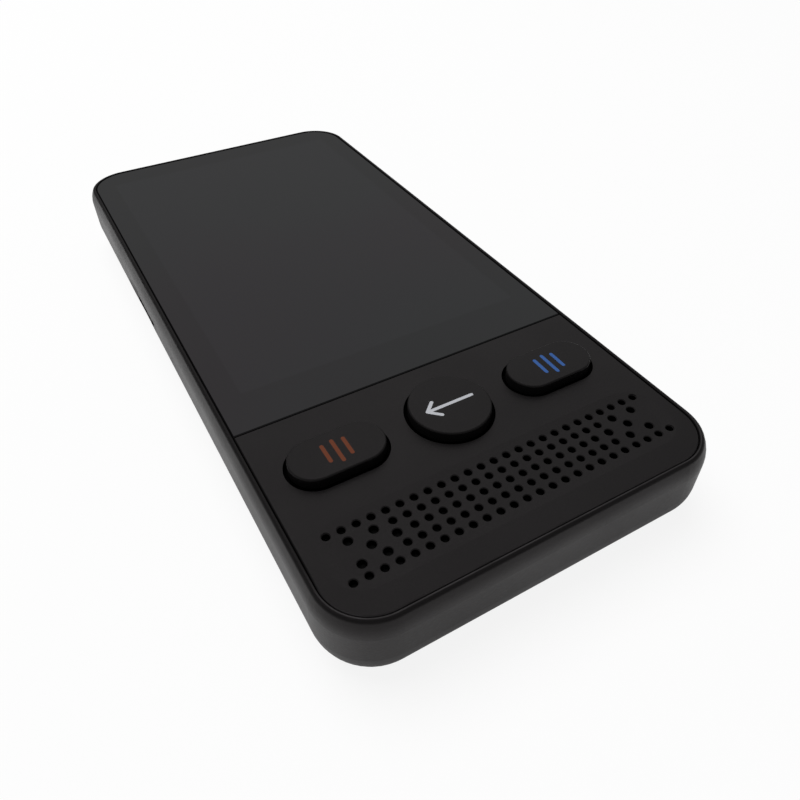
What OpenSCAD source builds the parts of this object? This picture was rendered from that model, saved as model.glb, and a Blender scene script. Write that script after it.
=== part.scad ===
// Handheld translator: a slab with a touch screen, three raised keys and a perforated speaker grille.
// X runs across the face, Y towards the screen end and Z out of the face.
// The origin is the middle of the flat back. All sizes are in millimetres.

/* [Body] */
// Width of the body
body_w = 57.2; // [57:0.2:64]
// Length of the body
body_l = 121.5; // [121.1:0.2:134]
// Thickness from the flat back to the top of the rim
body_t = 12.6; // [12.5:0.1:16]
// Corner radius of the outline
corner_r = 7.8; // [7.2:0.1:8.5]
// Radius that rolls the wall into the flat back
back_r = 5.6; // [4.8:0.1:5.8]
// Width of the rim around the face
rim_w = 1.3; // [1.25:0.05:1.5]
// Radius on the crest of the rim
rim_r = 0.6; // [0.4:0.05:0.7]
// Height over which the rim then rolls softly into the wall
rim_soft_h = 2.3; // [1.5:0.1:2.5]
// Thickness of the housing wall
wall_t = 1.7; // [1.5:0.1:1.8]
// Thickness of the housing floor
floor_t = 1.4; // [1.2:0.1:1.6]

/* [Face] */
// Depth of the face below the rim
face_drop = 0.1; // [0:0.05:0.2]
// Gap between the rim and the face parts, and between glass and keypad plate
face_gap = 0.14; // [0.12:0.02:0.26]
// Thickness of the cover glass
glass_t = 1.1; // [0.9:0.05:1.2]
// Thickness of the keypad plate
plate_t = 1.1; // [0.9:0.05:1.2]
// Thickness of the adhesive under the glass and the plate
tape_t = 0.15; // [0.1:0.05:0.25]
// Chamfer on the top edges of the glass and the plate
face_chamfer = 0.14; // [0.1:0.02:0.3]
// Distance from the key end of the body to the seam between glass and plate
seam_from_end = 33.8; // [33.6:0.1:34.1]

/* [Keys] */
// Distance from the key end of the body to the middle of the keys
key_from_end = 23.9; // [23.7:0.1:24.1]
// Distance from the side of the body to the pill keys
key_side = 5.1; // [4.9:0.05:5.7]
// Distance between the round key and the pill keys
key_spacing = 4.5; // [4:0.05:5.2]
// Width of a pill key
pill_w = 7.1; // [6.4:0.1:7.6]
// Diameter of the round key
round_d = 11.4; // [10.6:0.1:11.6]
// Height of the key tops above the face
key_proud = 1.4; // [0.8:0.1:1.8]
// Gap between each key and its hole in the plate
key_gap = 0.55; // [0.4:0.05:0.6]
// Travel of each key
key_travel = 0.4; // [0.2:0.05:0.4]
// Radius on the top edge of the pill keys
pill_edge_r = 0.25; // [0.2:0.05:0.8]
// Radius on the top edge of the round key
round_edge_r = 0.25; // [0.2:0.05:0.7]

/* [Grille] */
// Distance from the key end of the body to the nearest row of holes
grille_from_end = 6.6; // [6.5:0.1:6.8]
// Distance from the side of the body to the outermost holes
grille_side = 5.15; // [5.05:0.05:7.1]
// Spacing of the rows
row_pitch = 1.735; // [1.6:0.005:1.76]
// Diameter of the holes
hole_d = 1.0; // [0.8:0.05:1.1]
// Diameter of the larger holes in the crosses at the ends
cross_hole_d = 1.15; // [0.9:0.05:1.2]
// Depth of the shallow field around the holes
dish_depth = 0.1; // [0.05:0.05:0.3]
// Margin of the field beyond the outer holes
dish_margin = 1.8; // [1.5:0.1:1.9]

/* [Screen] */
// Distance from the side of the body to the lit area
screen_side = 5.9; // [5.8:0.1:8.1]
// Distance from the seam to the lit area
screen_from_seam = 11.6; // [11.2:0.1:14]
// Distance from the screen end of the body to the lit area
screen_from_top = 8; // [7.9:0.1:12.1]
// Thickness of the liquid crystal cell
cell_t = 0.75; // [0.6:0.05:0.85]
// Thickness of the backlight
backlight_t = 1.0; // [0.8:0.05:1.1]

/* [Side keys] */
// Distance from the screen end of the body to the middle of the power key
power_from_top = 41.9; // [40.1:0.1:46.1]
// Length of the power key
power_l = 10; // [8:0.1:11]
// Distance from the screen end of the body to the middle of the volume rocker
volume_from_top = 39.3; // [38.6:0.1:44.1]
// Length of the volume rocker
volume_l = 17; // [15:0.1:18]
// Width of the side keys
side_key_w = 2.6; // [2.2:0.1:2.8]
// Height of the side keys above the flat back
side_key_z = 6; // [5.8:0.1:6.2]
// Travel of the power key
power_travel = 0.25; // [0.15:0.05:0.3]
// Depth of the scoop around each side key
scoop_depth = 0.75; // [0.5:0.05:0.8]
// Length of the scoop beyond each end of its key
scoop_reach = 4.3; // [3.5:0.1:5]

/* [Inside] */
// Distance from the side of the body to the battery
battery_side = 8; // [7.6:0.1:12]
// Distance from the seam to the battery
battery_from_seam = 6.6; // [6.2:0.1:12]
// Thickness of the battery
battery_t = 4.6; // [4:0.1:5.2]
// Thickness of the circuit boards
board_t = 0.8; // [0.6:0.1:0.9]
// Width of the USB-C port's shell
port_w = 8.94; // [8.94:0.01:8.98]
// Height of the USB-C port's shell
port_h = 3.16; // [3.16:0.01:3.2]
// Diameter of the threaded part of the screws
screw_d = 1.4; // [1.2:0.1:1.4]
// Diameter of the screw heads
screw_head_d = 2.2; // [2:0.1:2.2]

/* [Hidden] */
$fn = 64;

// A cut runs this far past the face that it opens
over = 1;
// Running gap of parts that slide or turn in each other
slip = 0.05;
// Gap between parts that are dropped in place
loose = 0.15;
// Bosses and ribs start this far inside the floor
sink = 0.2;

half_w = body_w / 2;
half_l = body_l / 2;

// Levels of the face
face_z = body_t - face_drop;
glass_z = face_z - glass_t;
plate_z = face_z - plate_t;
glass_seat_z = glass_z - tape_t;
plate_seat_z = plate_z - tape_t;
pocket_z = min(glass_z, plate_z) - 0.1;
rim_edge = 0.1;
// Depth of wall left outside a boss that stands in the back edge
boss_cover = 0.5;
// Angle from the top at which the crest's round hands over to the soft one
rim_turn = 60;
soft_r = rim_soft_h / cos(rim_turn);
soft_in = soft_r * (1 - sin(rim_turn));
crest_in = rim_r * sin(rim_turn);
crest_h = rim_r * (1 - cos(rim_turn));
// The crest's round stands this much proud of the soft one where they meet, so that they cross cleanly
crest_lap = 0.01;
wall_top = body_t - crest_h - rim_soft_h;

// The pocket in the rim, and the panel that fills it
pocket_half_w = half_w - rim_w;
pocket_half_l = half_l - rim_w;
pocket_r = corner_r - rim_w;
panel_half_w = pocket_half_w - face_gap;
panel_half_l = pocket_half_l - face_gap;
panel_r = pocket_r - face_gap;
seam_y = seam_from_end - half_l;

// The cavity of the housing, and the frame that drops into it
cavity_half_w = half_w - wall_t;
cavity_half_l = half_l - wall_t;
cavity_r = corner_r - wall_t;
// The cavity's back edge is this much tighter than an even wall would make it, for room beside the floor
back_edge_relief = 0.6;
cavity_back_r = back_r - wall_t - back_edge_relief;
frame_half_w = cavity_half_w - loose;
frame_half_l = cavity_half_l - loose;
frame_r = cavity_r - loose;
frame_floor_t = 0.6;
frame_floor_z = glass_z - cell_t - backlight_t - 0.1;
frame_z = frame_floor_z - frame_floor_t;

// The display behind the glass
screen_w = body_w - 2 * screen_side;
screen_l = body_l - seam_from_end - screen_from_seam - screen_from_top;
cell_border_side = 1.3;
cell_border_key_end = 4.8;
cell_border_top = 2;
cell_w = screen_w + 2 * cell_border_side;
cell_l = screen_l + cell_border_key_end + cell_border_top;
cell_y0 = seam_y + screen_from_seam - cell_border_key_end;
flex_ledge = 2.7;
bay_gap = 0.4;
bay_w = cell_w + 2 * bay_gap;
bay_l = cell_l + 2 * bay_gap;
bay_mid_y = cell_y0 + cell_l / 2;

// The keys
pill_l = half_w - key_side - key_spacing - round_d / 2;
pill_x = half_w - key_side - pill_l / 2;
key_y = key_from_end - half_l;
key_top_z = face_z + key_proud;
key_flange = 0.6;
key_flange_t = 0.7;
key_flange_z = plate_z - slip - key_flange_t;
key_pad_t = 0.6;
key_pad_z = key_flange_z - key_pad_t;
key_nub_d = 3;
dome_h = key_travel + 0.05;
dome_d = 5;
dome_gap = 0.03;
key_hole_r = round_d / 2 + key_gap;
key_bay_gap = 0.45;
key_bay_half_l = key_hole_r + key_flange + key_bay_gap;
key_bay_half_w = half_w - key_side + key_gap + key_flange + 2 * key_bay_gap;
key_bay_r = 2;

// The grille
holes_per_side = 12;
inner_holes_per_side = 8;
middle_holes_per_side = 7;
hole_pitch = (half_w - grille_side) / holes_per_side;
grille_y = grille_from_end - half_l;
grille_mid_y = grille_y + 2 * row_pitch;
grille_half_w = half_w - grille_side + dish_margin;
grille_half_l = 2 * row_pitch + dish_margin;
grille_r = 4.2;
grille_bay_margin = 1.2;
grille_bay_half_w = half_w - grille_side + grille_bay_margin;
grille_bay_half_l = 2 * row_pitch + grille_bay_margin;
grille_bay_r = 3.6;
dish_slope = 1.8;
hole_chamfer = 0.1;
mesh_t = 0.12;
mesh_margin = 0.2;
shelf_z = plate_z - 1.1;
gasket_w = 0.5;

// The speaker under the grille, and the microphone beside it
speaker_end = 8.4;
speaker_half_w = grille_bay_half_w - speaker_end;
speaker_half_l = 2 * row_pitch + 0.93;
speaker_t = 2.7;
speaker_x = -2.2;
dust_cap_w = 14;
dust_cap_l = 4;
magnet_w = 12;
magnet_l = 7;
magnet_t = 1.2;
box_wall = 0.9;
box_end_room = 1.4;
box_side_room = 1.0;
box_floor_gap = 0.2;
box_half_w = speaker_half_w + box_end_room;
box_half_l = speaker_half_l + box_side_room;
box_z = floor_t + box_floor_gap;
mic_from_end = 3.2;
mic_x = grille_bay_half_w - mic_from_end;
mic_w = 3.5;
mic_l = 2.65;
mic_t = 1.0;
top_mic_x = 9.5;

// The boards
board_z = 4.8;
board_top_z = board_z + board_t;
board_side_gap = 2.7;
board_half_w = cavity_half_w - board_side_gap;
board_l = 20.3;
board_nose_l = 3.2;
board_nose_half_w = 14;
board_end_gap = 1.4;
board_y1 = cavity_half_l - board_end_gap;
board_shoulder_y = board_y1 - board_nose_l;
board_y0 = board_shoulder_y - board_l;
key_board_z = frame_z - board_t;
key_board_half_w = cavity_half_w - board_side_gap;
key_board_y0 = key_y - key_bay_half_l - 0.4;
key_board_y1 = seam_y - 0.5;
key_tongue_half_w = 16;
key_tongue_l = 4.7;
// Each chip is [x, distance from the board's key end, width, length, height].
// x and width are shares of half the board's width.
chips = [
    [-0.34, 12.8, 0.37, 9, 0.9], [-0.66, 12.8, 0.2, 8, 0.8], [0.18, 12.8, 0.2, 5, 0.8],
    [0.5, 13, 0.25, 6, 0.9], [0.73, 12.4, 0.12, 4, 0.7], [0.25, 18.6, 0.08, 1.2, 0.6]
];
can_x = -0.46 * board_half_w;
can_w = 0.7 * board_half_w;
can_l = 11.5;
can_h = 1.5;
// The connectors along the board's key end: [x, width]. The ribbons end on top of them.
display_connector = [0, 11];
key_connector = [9.5, 6];
battery_w = body_w - 2 * battery_side;
battery_connector = [6.5 - battery_w / 2, 7];
connector_from_end = 3.3;
connector_y = board_y0 + connector_from_end;
connector_l = 2.2;
connector_h = 1.0;
ribbon_t = 0.15;
ribbon_end = [connector_y + connector_l / 3, board_top_z + connector_h + ribbon_t / 2];
ribbon_lap = [1.5, 0];
ribbon_rise_y = ribbon_end[0] - 6;
flex_slot_w = display_connector[1] + 3;

// The port in the top end
port_l = 7.3;
port_setback = 0.3;
port_z = board_top_z + port_h / 2;
port_wall = 0.3;
can_port_gap = 0.5;
can_y = half_l - port_setback - port_l - can_port_gap - can_l / 2;

// Places of the screws
key_end_screw_inset = [6.1, 3.6];
seam_screw_inset = [6.4, 3.1];
top_end_screw_inset = [9.7, 3.7];
key_end_screw = [half_w - key_end_screw_inset[0], key_end_screw_inset[1] - half_l];
seam_screw = [half_w - seam_screw_inset[0], seam_y + seam_screw_inset[1]];
top_end_screw = [half_w - top_end_screw_inset[0], half_l - top_end_screw_inset[1]];
chassis_screws_xy = [for (place = [key_end_screw, seam_screw, top_end_screw], side = [-1, 1])
    [side * place[0], place[1]]];
board_screw_edge = 2.2;
board_screw_ys = [board_y0 + board_screw_edge, board_shoulder_y - board_screw_edge];
board_screws_xy = [for (y = board_screw_ys, side = [-1, 1])
    [side * (board_half_w - board_screw_edge), y]];
key_board_screws_xy = [for (side = [-1, 1])
    [side * (key_tongue_half_w - 2), key_board_y1 + key_tongue_l - 2]];
boss_d = 3.4;
pilot_gap = 0.02;
screw_head_t = 0.6;
screw_l = 4;

// The side keys
power_y = half_l - power_from_top;
volume_y = half_l - volume_from_top;
side_key_top = half_w - 0.3;
side_flange = 0.8;
side_flange_t = 0.7;
power_flange_x = cavity_half_w - slip;
switch_gap = 0.5;
switch_face_x = power_flange_x - side_flange_t - switch_gap;
switch_t = 1.3;
bracket_t = 0.5;
bracket_h = 4;
power_bracket_l = 12.4;
volume_bracket_l = 19.4;
plunger_r = 0.55;
plunger_bite = 0.6;
rocker_pin_r = 0.5;
rocker_pin_x = cavity_half_w - 0.75;
rocker_flange_x = cavity_half_w - 0.3;
rocker_lug_r = 0.95;
ear_gap = 0.4;
ear_t = 0.8;
rocker_nub_y = 6;
rocker_bracket_x = cavity_half_w - 3.5;
rocker_gap = 0.2;

// The battery between the boards
battery_board_gap = 3.4;
battery_l = board_y0 - battery_board_gap - battery_from_seam - seam_y;
battery_y = board_y0 - battery_board_gap - battery_l / 2;
battery_z = floor_t + tape_t;

black = [0.13, 0.13, 0.13];
rubber_grey = [0.25, 0.25, 0.26];
board_green = [0.05, 0.3, 0.15];
flex_amber = [0.75, 0.45, 0.1];
steel = [0.7, 0.7, 0.72];
foil = [0.78, 0.79, 0.8];

// ---------- shared shapes ----------

// A flat outline with round corners, centred
module round_rect(w, l, r) {
    if (l > 2 * r) square([w, l - 2 * r], center = true);
    if (w > 2 * r) square([w - 2 * r, l], center = true);
    for (sx = [-1, 1], sy = [-1, 1]) {
        translate([sx * (w / 2 - r), sy * (l / 2 - r)]) circle(r);
    }
}

// A slab with round corners whose edge follows the profile given as its child.
// The profile's first axis starts at the centre of a corner, so the wall lies at the corner radius.
module swept_slab(half_w, half_l, r, z0, z1) {
    for (sx = [-1, 1], sy = [-1, 1]) {
        turn = sx > 0 ? (sy > 0 ? 0 : 270) : (sy > 0 ? 90 : 180);
        translate([sx * (half_w - r), sy * (half_l - r), 0]) {
            rotate(turn) rotate_extrude(angle = 90) children();
        }
    }
    if (half_l > r) {
        for (turn = [0, 180]) rotate(turn) translate([half_w - r, 0, 0]) {
            rotate([90, 0, 0]) linear_extrude(2 * (half_l - r), center = true) children();
        }
    }
    if (half_w > r) {
        for (turn = [90, 270]) rotate(turn) translate([half_l - r, 0, 0]) {
            rotate([90, 0, 0]) linear_extrude(2 * (half_w - r), center = true) children();
        }
    }
    if (half_w > r && half_l > r) {
        translate([r - half_w, r - half_l, z0]) cube([2 * (half_w - r), 2 * (half_l - r), z1 - z0]);
    }
}

// Profile of a slab of height t, with its lower edge rounded by low_r and its upper edge by high_r
module rounded_profile(r, t, low_r, high_r) {
    translate([0, low_r]) square([r, t - low_r - high_r]);
    if (low_r > 0) {
        square([r - low_r, low_r]);
        intersection() {
            translate([r - low_r, 0]) square([low_r, low_r]);
            translate([r - low_r, low_r]) circle(low_r);
        }
    }
    if (high_r > 0) {
        translate([0, t - high_r]) square([r - high_r, high_r]);
        intersection() {
            translate([r - high_r, t - high_r]) square([high_r, high_r]);
            translate([r - high_r, t - high_r]) circle(high_r);
        }
    }
}

// A pill-shaped bar along X, standing on z = 0
module pill(l, w, h) {
    linear_extrude(h) round_rect(l, w, w / 2);
}

function unit(v) = v / norm(v);

// A point beside point i of a path, side away from it, on the mitre where two stretches meet
function path_edge(path, i, side) =
    let (
        last = len(path) - 1,
        before = unit(path[max(i, 1)] - path[max(i, 1) - 1]),
        after = unit(path[min(i, last - 1) + 1] - path[min(i, last - 1)]),
        normal = unit([-(before + after)[1], (before + after)[0]])
    )
    path[i] + side * normal / (normal * [-before[1], before[0]]);

// A ribbon in the YZ plane that follows a path, as wide as w along X
module ribbon(path, t, w) {
    last = len(path) - 1;
    rotate([90, 0, 90]) linear_extrude(w, center = true) polygon([
        for (i = [0 : last]) path_edge(path, i, t / 2),
        for (i = [last : -1 : 0]) path_edge(path, i, -t / 2)
    ]);
}

// A screw whose head stands on z = 0 and whose thread points down
module screw(l) {
    difference() {
        union() {
            cylinder(h = screw_head_t, d = screw_head_d);
            translate([0, 0, -l]) cylinder(h = l, d = screw_d);
        }
        for (turn = [0, 90]) rotate(turn) {
            translate([-0.6, -0.12, screw_head_t - 0.35]) cube([1.2, 0.24, over]);
        }
    }
}

// A tube that takes a screw
module boss(z0, z1, pilot_l) {
    difference() {
        translate([0, 0, z0]) cylinder(h = z1 - z0, d = boss_d);
        translate([0, 0, z1 - pilot_l]) cylinder(h = pilot_l + over, d = screw_d + 2 * pilot_gap);
    }
}

// ---------- housing ----------

// Profile of the wall: round at the back, and softly rolled in towards the rim's tighter crest
module housing_profile() {
    rounded_profile(corner_r, wall_top, back_r, 0);
    translate([0, wall_top - sink]) {
        square([corner_r - soft_in, rim_soft_h + sink]);
        intersection() {
            translate([corner_r - soft_in, 0]) square([soft_in, rim_soft_h + sink]);
            translate([corner_r - soft_r, sink]) circle(soft_r);
        }
    }
    translate([0, body_t - crest_h - sink]) {
        square([corner_r - soft_in - crest_in + crest_lap, crest_h + sink]);
        translate([corner_r - soft_in - crest_in + crest_lap, 0]) intersection() {
            square([crest_in + sink, crest_h + sink]);
            translate([0, crest_h + sink - rim_r]) circle(rim_r);
        }
    }
}

module housing_outside() {
    swept_slab(half_w, half_l, corner_r, 0, body_t) housing_profile();
}

module housing_shell() {
    difference() {
        housing_outside();
        translate([0, 0, floor_t]) {
            swept_slab(cavity_half_w, cavity_half_l, cavity_r, 0, body_t) {
                rounded_profile(cavity_r, body_t, cavity_back_r, 0);
            }
        }
        swept_slab(pocket_half_w, pocket_half_l, pocket_r, pocket_z, body_t + over) {
            polygon([
                [0, pocket_z], [pocket_r, pocket_z], [pocket_r, body_t - rim_edge],
                [pocket_r + rim_edge, body_t], [pocket_r + rim_edge, body_t + over], [0, body_t + over]
            ]);
        }
    }
}

// A finger scoop in a side wall, round in both directions, for a key of length l at height side_key_z
module side_scoop(l) {
    half_chord = l / 2 + scoop_reach;
    half_height = side_key_w / 2 + 1.0;
    sweep_r = (half_chord * half_chord + scoop_depth * scoop_depth) / (2 * scoop_depth);
    tube_r = (half_height * half_height + scoop_depth * scoop_depth) / (2 * scoop_depth);
    translate([half_w - scoop_depth + sweep_r, 0, side_key_z]) {
        rotate_extrude(angle = 360, $fn = 128) translate([sweep_r - tube_r, 0]) circle(tube_r);
    }
}

// The slot through a side wall for a key of length l
module side_slot(l) {
    translate([cavity_half_w - over, 0, side_key_z]) rotate([90, 0, 90]) {
        pill(l + 2 * key_gap, side_key_w + 2 * key_gap, wall_t + 2 * over);
    }
}

// Two low ears on the right wall that hold the pin of the rocker
module rocker_ears() {
    ear_z = side_key_w / 2 + ear_gap + ear_t / 2;
    for (side = [-1, 1]) {
        translate([rocker_pin_x, volume_y, side_key_z + side * ear_z]) difference() {
            union() {
                cylinder(h = ear_t, r = rocker_lug_r, center = true);
                translate([0, -rocker_lug_r, -ear_t / 2]) cube([wall_t, 2 * rocker_lug_r, ear_t]);
            }
            cylinder(h = 2, r = rocker_pin_r + pilot_gap, center = true);
        }
    }
}

// Two ribs on the floor with slots that hold a switch bracket of length l, whose middle lies at x and y
module bracket_ribs(x, y, l) {
    rib_t = 2.4;
    rib_w = 1.4;
    rib_z = floor_t - sink;
    bracket_low = side_key_z - bracket_h / 2;
    for (side = [-1, 1]) {
        translate([x, y + side * (l / 2 + 0.3), rib_z]) difference() {
            translate([-rib_t / 2, -rib_w / 2, 0]) cube([rib_t, rib_w, bracket_low + bracket_h - rib_z]);
            translate([-bracket_t / 2 - slip, side > 0 ? -rib_w : 0, bracket_low - rib_z]) {
                cube([bracket_t + 2 * slip, rib_w, body_t]);
            }
        }
    }
}

// A low fence that keeps the battery in place
module battery_fence() {
    fence_h = 2.4;
    fence_t = 0.8;
    fence_w = battery_w + 2 * loose + 2 * fence_t;
    fence_l = battery_l + 2 * loose + 2 * fence_t;
    translate([0, battery_y, floor_t - sink]) linear_extrude(fence_h) difference() {
        square([fence_w, fence_l], center = true);
        square([fence_w - 2 * fence_t, fence_l - 2 * fence_t], center = true);
        square([fence_w * 0.6, fence_l + over], center = true);
        square([fence_w + over, fence_l * 0.6], center = true);
    }
}

module rear_housing() {
    color(black) difference() {
        union() {
            housing_shell();
            // the outer bosses stand in the round of the back edge, so they end inside its wall
            intersection() {
                for (place = chassis_screws_xy) translate(place) {
                    boss(floor_t - sink, frame_z - slip, screw_l - 1);
                }
                translate([0, 0, boss_cover]) {
                    swept_slab(half_w - boss_cover, half_l - boss_cover, corner_r - boss_cover, 0, body_t) {
                        rounded_profile(corner_r - boss_cover, body_t, back_r - boss_cover, 0);
                    }
                }
            }
            for (place = board_screws_xy) translate(place) {
                boss(floor_t - sink, board_z, board_z - floor_t - 0.4);
            }
            rocker_ears();
            bracket_ribs(rocker_bracket_x + bracket_t / 2, volume_y, volume_bracket_l);
            bracket_ribs(bracket_t / 2 + switch_t - switch_face_x, power_y, power_bracket_l);
            battery_fence();
        }
        translate([0, volume_y, 0]) {
            side_scoop(volume_l);
            side_slot(volume_l);
        }
        translate([0, power_y, 0]) rotate(180) {
            side_scoop(power_l);
            side_slot(power_l);
        }
        translate([0, half_l + over, port_z]) rotate([90, 0, 0]) {
            pill(port_w + 2 * loose, port_h + 2 * loose, wall_t + 2 * over);
        }
        translate([top_mic_x, half_l + over, board_top_z + mic_t / 2]) rotate([90, 0, 0]) {
            cylinder(h = wall_t + 2 * over, r = 0.5);
        }
    }
}

// ---------- mid frame ----------

module mid_frame_outline() {
    round_rect(2 * frame_half_w, 2 * frame_half_l, frame_r);
}

module mid_frame() {
    color(steel) translate([0, 0, frame_z]) difference() {
        union() {
            linear_extrude(glass_seat_z - frame_z) intersection() {
                mid_frame_outline();
                translate([-body_w / 2, seam_y]) square([body_w, body_l]);
            }
            linear_extrude(plate_seat_z - frame_z) intersection() {
                mid_frame_outline();
                translate([-body_w / 2, seam_y - body_l]) square([body_w, body_l]);
            }
        }
        mid_frame_cuts();
    }
}

// Everything that is cut from the frame, above its lower face at z = 0
module mid_frame_cuts() {
    translate([0, 0, -frame_z]) {
        // the bay for the display
        translate([0, bay_mid_y, frame_floor_z]) linear_extrude(body_t) round_rect(bay_w, bay_l, 1);
        // the slot for the display flex
        translate([display_connector[0] - flex_slot_w / 2, cell_y0 - bay_gap, frame_z - over]) {
            cube([flex_slot_w, flex_ledge * 0.6, body_t]);
        }
        // the bay for the keys
        translate([0, key_y, frame_z - over]) {
            linear_extrude(body_t) round_rect(2 * key_bay_half_w, 2 * key_bay_half_l, key_bay_r);
        }
        // the shelf for mesh, gasket and microphone, and the hole for the speaker
        translate([0, grille_mid_y, shelf_z]) {
            linear_extrude(body_t) {
                round_rect(2 * grille_bay_half_w, 2 * grille_bay_half_l, grille_bay_r);
            }
        }
        translate([speaker_x, grille_mid_y, frame_z - over]) linear_extrude(body_t) {
            round_rect(2 * (speaker_half_w + loose), 2 * (speaker_half_l + loose), 2);
        }
        translate([mic_x, grille_mid_y, frame_z - over]) {
            cylinder(h = body_t, r = 0.6);
            translate([-mic_w / 2 - loose, -mic_l / 2 - loose, 0]) {
                cube([mic_w + 2 * loose, mic_l + 2 * loose, mic_t + slip + over]);
            }
        }
    }
    for (place = chassis_screws_xy) translate(place) {
        seat = frame_seat_z(place) - frame_z;
        translate([0, 0, -over]) cylinder(h = body_t, r = screw_d / 2 + 0.1);
        translate([0, 0, seat]) cylinder(h = body_t, r = screw_head_d / 2 + 0.1);
    }
    for (place = key_board_screws_xy) translate(place) {
        translate([0, 0, -over]) cylinder(h = over + 1.4, r = screw_d / 2 + pilot_gap);
    }
}

// Height of the seat of a chassis screw's head
function frame_seat_z(place) =
    (place[1] > seam_y ? glass_seat_z : plate_seat_z) - screw_head_t - 0.1;

// ---------- face ----------

// The whole face as one slab with chamfered edges, from z0 up
module face_panel(z0) {
    swept_slab(panel_half_w, panel_half_l, panel_r, z0, face_z) {
        polygon([
            [0, z0], [panel_r, z0], [panel_r, face_z - face_chamfer],
            [panel_r - face_chamfer, face_z], [0, face_z]
        ]);
    }
}

// Everything on one side of the seam, with the seam's top edge chamfered. side is 1 for the glass.
module seam_side(side, z0) {
    edge = face_gap / 2;
    translate([0, seam_y, 0]) rotate([90, 0, 90]) linear_extrude(body_w, center = true) {
        polygon([
            [side * edge, z0 - over], [side * edge, face_z - face_chamfer],
            [side * (edge + face_chamfer), face_z], [side * (edge + face_chamfer), face_z + over],
            [side * body_l, face_z + over], [side * body_l, z0 - over]
        ]);
    }
}

module cover_glass() {
    color([0.16, 0.16, 0.17]) intersection() {
        face_panel(glass_z);
        seam_side(1, glass_z);
    }
}

// One hole of the grille with a small chamfer at its mouth, which lies on z = 0
module grille_hole(d) {
    r = d / 2;
    rotate_extrude($fn = 32) polygon([
        [0, -plate_t - over], [r, -plate_t - over], [r, -hole_chamfer],
        [r + hole_chamfer, 0], [r + hole_chamfer, over], [0, over]
    ]);
}

// A row of holes, n on each side of the middle one
module hole_row(n) {
    for (i = [-n : n]) translate([i * hole_pitch, 0, 0]) grille_hole(hole_d);
}

// The grille: five rows, with a cross of larger holes where the inner rows stop short
module grille_holes() {
    for (row = [0, 4]) translate([0, row * row_pitch, 0]) hole_row(holes_per_side);
    for (row = [1, 3]) translate([0, row * row_pitch, 0]) hole_row(inner_holes_per_side);
    translate([0, 2 * row_pitch, 0]) hole_row(middle_holes_per_side);
    for (side = [-1, 1]) {
        for (row = [1, 3], step = [1.3, 3.0]) {
            translate([side * (inner_holes_per_side + step) * hole_pitch, row * row_pitch, 0]) {
                grille_hole(cross_hole_d);
            }
        }
        for (step = [1.2, 2.9]) {
            translate([side * (middle_holes_per_side + step) * hole_pitch, 2 * row_pitch, 0]) {
                grille_hole(cross_hole_d);
            }
        }
    }
}

module keypad_plate() {
    color(black) difference() {
        intersection() {
            face_panel(plate_z);
            seam_side(-1, plate_z);
        }
        // the shallow field around the grille
        translate([0, grille_mid_y, face_z]) {
            swept_slab(grille_half_w, grille_half_l, grille_r, -dish_depth, over) {
                polygon([
                    [0, -dish_depth], [grille_r - dish_slope, -dish_depth],
                    [grille_r, 0], [grille_r, over], [0, over]
                ]);
            }
        }
        translate([0, grille_y, face_z - dish_depth]) grille_holes();
        for (side = [-1, 1]) translate([side * pill_x, key_y, plate_z - over]) {
            pill(pill_l + 2 * key_gap, pill_w + 2 * key_gap, plate_t + 2 * over);
        }
        translate([0, key_y, plate_z - over]) cylinder(h = plate_t + 2 * over, r = key_hole_r);
    }
}

// ---------- keys ----------

module pill_key() {
    cap_h = key_top_z - key_flange_z;
    translate([0, 0, key_flange_z]) {
        swept_slab(pill_l / 2, pill_w / 2, pill_w / 2, 0, cap_h) {
            rounded_profile(pill_w / 2, cap_h, 0, pill_edge_r);
        }
        pill(pill_l + 2 * (key_gap + key_flange), pill_w + 2 * (key_gap + key_flange), key_flange_t);
    }
}

module left_key() {
    color(black) translate([-pill_x, key_y, 0]) pill_key();
}

module right_key() {
    color(black) translate([pill_x, key_y, 0]) pill_key();
}

module back_key() {
    cap_h = key_top_z - key_flange_z;
    color(black) translate([0, key_y, key_flange_z]) {
        rotate_extrude() rounded_profile(round_d / 2, cap_h, 0, round_edge_r);
        cylinder(h = key_flange_t, r = key_hole_r + key_flange);
    }
}

// The rubber pad under a key, with the nub that presses the dome
module key_pad(l, w) {
    nub_l = key_pad_z - frame_z - dome_h - dome_gap;
    translate([0, 0, key_pad_z]) pill(l, w, key_pad_t);
    translate([0, 0, key_pad_z - nub_l]) cylinder(h = nub_l, d = key_nub_d);
}

module left_key_pad() {
    color(rubber_grey) translate([-pill_x, key_y, 0]) key_pad(pill_l, pill_w);
}

module right_key_pad() {
    color(rubber_grey) translate([pill_x, key_y, 0]) key_pad(pill_l, pill_w);
}

module back_key_pad() {
    color(rubber_grey) translate([0, key_y, 0]) key_pad(round_d, round_d - 1);
}

// A snap dome: a thin spherical cap on the key board
module dome() {
    dome_t = 0.1;
    r = dome_d / 2;
    sphere_r = (r * r + dome_h * dome_h) / (2 * dome_h);
    rotate_extrude() intersection() {
        square([r, dome_h]);
        difference() {
            translate([0, dome_h - sphere_r]) circle(sphere_r, $fn = 128);
            translate([0, dome_h - sphere_r]) circle(sphere_r - dome_t, $fn = 128);
        }
    }
}

module left_dome() {
    color(steel) translate([-pill_x, key_y, frame_z]) dome();
}

module back_dome() {
    color(steel) translate([0, key_y, frame_z]) dome();
}

module right_dome() {
    color(steel) translate([pill_x, key_y, frame_z]) dome();
}

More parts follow.
